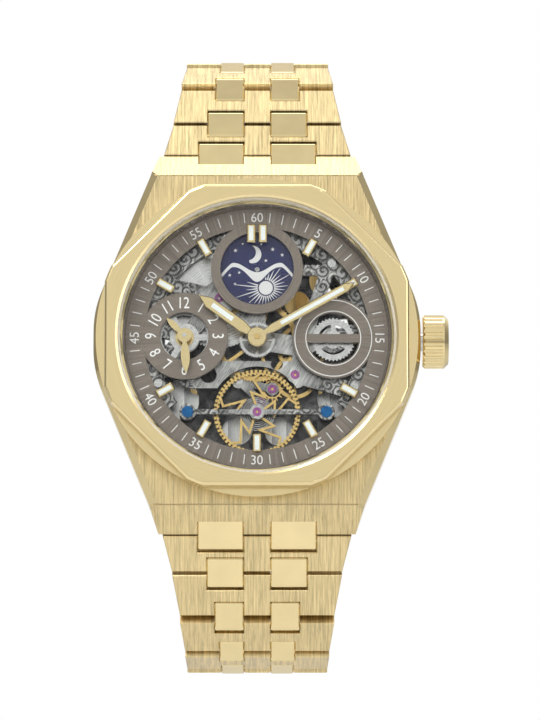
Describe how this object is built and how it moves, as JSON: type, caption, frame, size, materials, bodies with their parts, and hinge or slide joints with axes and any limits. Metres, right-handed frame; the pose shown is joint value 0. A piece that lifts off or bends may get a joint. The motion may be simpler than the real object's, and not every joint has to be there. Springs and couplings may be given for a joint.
{
  "type": "skeleton wristwatch",
  "caption": "Gold-plated skeleton wristwatch with octagonal bezel, openworked movement, fluted crown and hinged metal bracelet with folding clasp.",
  "frame": {"origin": "centre of the case back's rest face, on the axis of the hour and minute hands", "axes": "+Z towards 12 o'clock, +X towards 3 o'clock and the crown, +Y out of the case back, so the dial faces -Y"},
  "size_m": [0.0466, 0.0474, 0.0838],
  "materials": {
    "gold_brushed": "yellow gold plated steel, fine straight brushing",
    "gold_polished": "yellow gold plated steel, polished",
    "gold_hand": "gilt, faceted, with pale inlay",
    "sapphire": "clear sapphire",
    "gasket_rubber": "black sealing rubber",
    "rehaut": "taupe, satin",
    "dial_taupe": "taupe, sunray brushed, white print",
    "steel": "polished steel",
    "rhodium_plate": "grey plated, engraved and bevelled",
    "ruby": "synthetic ruby",
    "blued_steel": "heat blued steel",
    "gilt_wheel": "gilt brass",
    "disc_enamel": "navy lacquer with silver print",
    "rotor_metal": "grey plated, striped"
  },
  "bodies": {
    "case": {"mid_case": "gold_brushed", "bezel": "gold_polished", "case_back": "gold_polished", "hour_markers": "gold_hand", "crystal": "sapphire", "case_back_crystal": "sapphire", "gaskets": "gasket_rubber", "flange_ring": "rehaut", "dial": "dial_taupe", "case_back_screws": "steel", "crown_tube": "steel", "bridge_screws": "steel", "rotor_bearing": "steel", "main_plate": "rhodium_plate", "barrel_bridge": "rhodium_plate", "train_bridge": "rhodium_plate", "pallet_bridge": "rhodium_plate", "balance_bridge": "rhodium_plate", "jewels": "ruby", "blued_screws": "blued_steel"},
    "minute_hand": {"minute_hand": "gold_hand"},
    "hour": {"hour_wheel": "steel", "hour_hand": "gold_hand"},
    "dual_minute": {"dual_time_wheel": "rhodium_plate", "dual_minute_hand": "gold_hand"},
    "dual_hour": {"dual_hour_hand": "gold_hand"},
    "day_night": {"day_night_disc": "disc_enamel"},
    "fourth_wheel": {"fourth_wheel": "gilt_wheel"},
    "third_wheel": {"third_wheel": "gilt_wheel"},
    "center_wheel": {"center_wheel": "gilt_wheel"},
    "barrel": {"barrel": "rhodium_plate"},
    "escape_wheel": {"escape_wheel": "gilt_wheel"},
    "pallet_fork": {"pallet_fork": "steel"},
    "balance": {"balance_wheel": "gilt_wheel", "hairspring": "steel"},
    "rotor": {"rotor": "rotor_metal"},
    "setting_lever": {"setting_lever": "steel"},
    "crown": {"crown": "gold_polished"},
    "crown_wheel": {"crown_wheel": "rhodium_plate"},
    "upper_row_1": {"upper_row_1": "gold_brushed"},
    "upper_row_2": {"upper_row_2": "gold_brushed"},
    "upper_row_3": {"upper_row_3": "gold_brushed"},
    "upper_row_4": {"upper_row_4": "gold_brushed"},
    "upper_row_5": {"upper_row_5": "gold_brushed"},
    "upper_row_6": {"upper_row_6": "gold_brushed"},
    "upper_row_7": {"upper_row_7": "gold_brushed"},
    "upper_row_8": {"upper_row_8": "gold_brushed"},
    "lower_row_1": {"lower_row_1": "gold_brushed"},
    "lower_row_2": {"lower_row_2": "gold_brushed"},
    "lower_row_3": {"lower_row_3": "gold_brushed"},
    "lower_row_4": {"lower_row_4": "gold_brushed"},
    "lower_row_5": {"lower_row_5": "gold_brushed"},
    "lower_row_6": {"lower_row_6": "gold_brushed"},
    "lower_row_7": {"lower_row_7": "gold_brushed"},
    "lower_row_8": {"lower_row_8": "gold_brushed"},
    "clasp_inner": {"clasp_inner_blade": "gold_polished"},
    "clasp_middle": {"clasp_middle_blade": "gold_polished"},
    "clasp_cover": {"clasp_cover": "gold_brushed"},
    "button_right": {"clasp_button_right": "gold_polished"},
    "button_left": {"clasp_button_left": "gold_polished"}
  },
  "joints": [
    {"name": "minute_turn", "type": "hinge", "parent": "case", "child": "minute_hand", "pos_m": [0, -0.0055, 0], "axis": [0, 1, 0], "continuous": true},
    {"name": "hour_turn", "type": "hinge", "parent": "case", "child": "hour", "pos_m": [0, -0.0055, 0], "axis": [0, 1, 0], "continuous": true},
    {"name": "dual_minute_turn", "type": "hinge", "parent": "case", "child": "dual_minute", "pos_m": [-0.00953, -0.0055, 0.0003], "axis": [0, 1, 0], "continuous": true},
    {"name": "dual_hour_turn", "type": "hinge", "parent": "case", "child": "dual_hour", "pos_m": [-0.00953, -0.0055, 0.0003], "axis": [0, 1, 0], "continuous": true},
    {"name": "day_night_turn", "type": "hinge", "parent": "case", "child": "day_night", "pos_m": [0, -0.0055, 0.0093], "axis": [0, 1, 0], "continuous": true},
    {"name": "fourth_turn", "type": "hinge", "parent": "case", "child": "fourth_wheel", "pos_m": [0.005, -0.0055, -0.0046], "axis": [0, 1, 0], "continuous": true},
    {"name": "third_turn", "type": "hinge", "parent": "case", "child": "third_wheel", "pos_m": [0.0059, -0.0055, -0.0009], "axis": [0, 1, 0], "continuous": true},
    {"name": "center_turn", "type": "hinge", "parent": "case", "child": "center_wheel", "pos_m": [0, -0.0055, 0], "axis": [0, 1, 0], "continuous": true},
    {"name": "barrel_turn", "type": "hinge", "parent": "case", "child": "barrel", "pos_m": [-0.005, -0.0055, 0.0056], "axis": [0, 1, 0], "continuous": true},
    {"name": "escape_turn", "type": "hinge", "parent": "case", "child": "escape_wheel", "pos_m": [0.002, -0.0055, -0.0063], "axis": [0, 1, 0], "continuous": true},
    {"name": "pallet_rock", "type": "hinge", "parent": "case", "child": "pallet_fork", "pos_m": [0.00055, -0.0044, -0.008], "axis": [0, 1, 0], "range_deg": [-5, 5]},
    {"name": "balance_swing", "type": "hinge", "parent": "case", "child": "balance", "pos_m": [0, -0.00545, -0.0096], "axis": [0, 1, 0], "range_deg": [-270, 270]},
    {"name": "rotor_turn", "type": "hinge", "parent": "case", "child": "rotor", "pos_m": [0, -0.00205, 0], "axis": [0, 1, 0], "continuous": true},
    {"name": "crown_pull", "type": "slide", "parent": "case", "child": "setting_lever", "axis": [1, 0, 0], "range_m": [0, 0.0008]},
    {"name": "crown_turn", "type": "hinge", "parent": "setting_lever", "child": "crown", "pos_m": [0.02175, -0.0047, 0], "axis": [1, 0, 0], "continuous": true},
    {"name": "crown_wheel_turn", "type": "hinge", "parent": "case", "child": "crown_wheel", "pos_m": [0.01, -0.0055, 0], "axis": [0, 1, 0], "continuous": true},
    {"name": "upper_row_1_hinge", "type": "hinge", "parent": "case", "child": "upper_row_1", "pos_m": [0, -0.00116, 0.02586], "axis": [1, 0, 0], "range_deg": [0, 6]},
    {"name": "upper_row_2_hinge", "type": "hinge", "parent": "upper_row_1", "child": "upper_row_2", "pos_m": [0, 0.00112, 0.03053], "axis": [1, 0, 0], "range_deg": [0, 7]},
    {"name": "upper_row_3_hinge", "type": "hinge", "parent": "upper_row_2", "child": "upper_row_3", "pos_m": [0, 0.00431, 0.03585], "axis": [1, 0, 0], "range_deg": [0, 28]},
    {"name": "upper_row_4_hinge", "type": "hinge", "parent": "upper_row_3", "child": "upper_row_4", "pos_m": [0, 0.00951, 0.03923], "axis": [1, 0, 0], "range_deg": [0, 24]},
    {"name": "upper_row_5_hinge", "type": "hinge", "parent": "upper_row_4", "child": "upper_row_5", "pos_m": [0, 0.01559, 0.04041], "axis": [1, 0, 0], "range_deg": [0, 21]},
    {"name": "upper_row_6_hinge", "type": "hinge", "parent": "upper_row_5", "child": "upper_row_6", "pos_m": [0, 0.02173, 0.03955], "axis": [1, 0, 0], "range_deg": [0, 21]},
    {"name": "upper_row_7_hinge", "type": "hinge", "parent": "upper_row_6", "child": "upper_row_7", "pos_m": [0, 0.02726, 0.03673], "axis": [1, 0, 0], "range_deg": [0, 20]},
    {"name": "upper_row_8_hinge", "type": "hinge", "parent": "upper_row_7", "child": "upper_row_8", "pos_m": [0, 0.03164, 0.03235], "axis": [1, 0, 0], "range_deg": [0, 21]},
    {"name": "lower_row_1_hinge", "type": "hinge", "parent": "case", "child": "lower_row_1", "pos_m": [0, -0.00116, -0.02586], "axis": [-1, 0, 0], "range_deg": [0, 6]},
    {"name": "lower_row_2_hinge", "type": "hinge", "parent": "lower_row_1", "child": "lower_row_2", "pos_m": [0, 0.00112, -0.03053], "axis": [-1, 0, 0], "range_deg": [0, 7]},
    {"name": "lower_row_3_hinge", "type": "hinge", "parent": "lower_row_2", "child": "lower_row_3", "pos_m": [0, 0.00431, -0.03585], "axis": [-1, 0, 0], "range_deg": [0, 28]},
    {"name": "lower_row_4_hinge", "type": "hinge", "parent": "lower_row_3", "child": "lower_row_4", "pos_m": [0, 0.00951, -0.03923], "axis": [-1, 0, 0], "range_deg": [0, 24]},
    {"name": "lower_row_5_hinge", "type": "hinge", "parent": "lower_row_4", "child": "lower_row_5", "pos_m": [0, 0.01559, -0.04041], "axis": [-1, 0, 0], "range_deg": [0, 21]},
    {"name": "lower_row_6_hinge", "type": "hinge", "parent": "lower_row_5", "child": "lower_row_6", "pos_m": [0, 0.02173, -0.03955], "axis": [-1, 0, 0], "range_deg": [0, 21]},
    {"name": "lower_row_7_hinge", "type": "hinge", "parent": "lower_row_6", "child": "lower_row_7", "pos_m": [0, 0.02726, -0.03673], "axis": [-1, 0, 0], "range_deg": [0, 20]},
    {"name": "lower_row_8_hinge", "type": "hinge", "parent": "lower_row_7", "child": "lower_row_8", "pos_m": [0, 0.03164, -0.03235], "axis": [-1, 0, 0], "range_deg": [0, 21]},
    {"name": "clasp_hinge", "type": "hinge", "parent": "upper_row_8", "child": "clasp_inner", "pos_m": [0, 0.03436, 0.02677], "axis": [1, 0, 0], "range_deg": [0, 28]},
    {"name": "clasp_fold", "type": "hinge", "parent": "clasp_inner", "child": "clasp_middle", "pos_m": [0, 0.03416, -0.02127], "axis": [-1, 0, 0], "range_deg": [0, 140]},
    {"name": "clasp_cover_hinge", "type": "hinge", "parent": "clasp_middle", "child": "clasp_cover", "pos_m": [0, 0.03416, 0.02127], "axis": [-1, 0, 0], "range_deg": [-140, 0]},
    {"name": "button_right_press", "type": "slide", "parent": "clasp_cover", "child": "button_right", "axis": [-1, 0, 0], "range_m": [0, 0.0006]},
    {"name": "button_left_press", "type": "slide", "parent": "clasp_cover", "child": "button_left", "axis": [1, 0, 0], "range_m": [0, 0.0006]}
  ],
  "couplings": [
    {"joint": "hour_turn", "follows": "minute_turn", "ratio": 0.083333},
    {"joint": "dual_minute_turn", "follows": "minute_turn", "ratio": 1},
    {"joint": "dual_hour_turn", "follows": "minute_turn", "ratio": 0.083333},
    {"joint": "day_night_turn", "follows": "minute_turn", "ratio": 0.041667},
    {"joint": "third_turn", "follows": "fourth_turn", "ratio": -0.13333},
    {"joint": "center_turn", "follows": "fourth_turn", "ratio": 0.016667},
    {"joint": "barrel_turn", "follows": "fourth_turn", "ratio": -0.0022222},
    {"joint": "escape_turn", "follows": "fourth_turn", "ratio": -10},
    {"joint": "crown_wheel_turn", "follows": "crown_turn", "ratio": 0.5},
    {"joint": "clasp_cover_hinge", "follows": "clasp_fold", "ratio": -1}
  ]
}
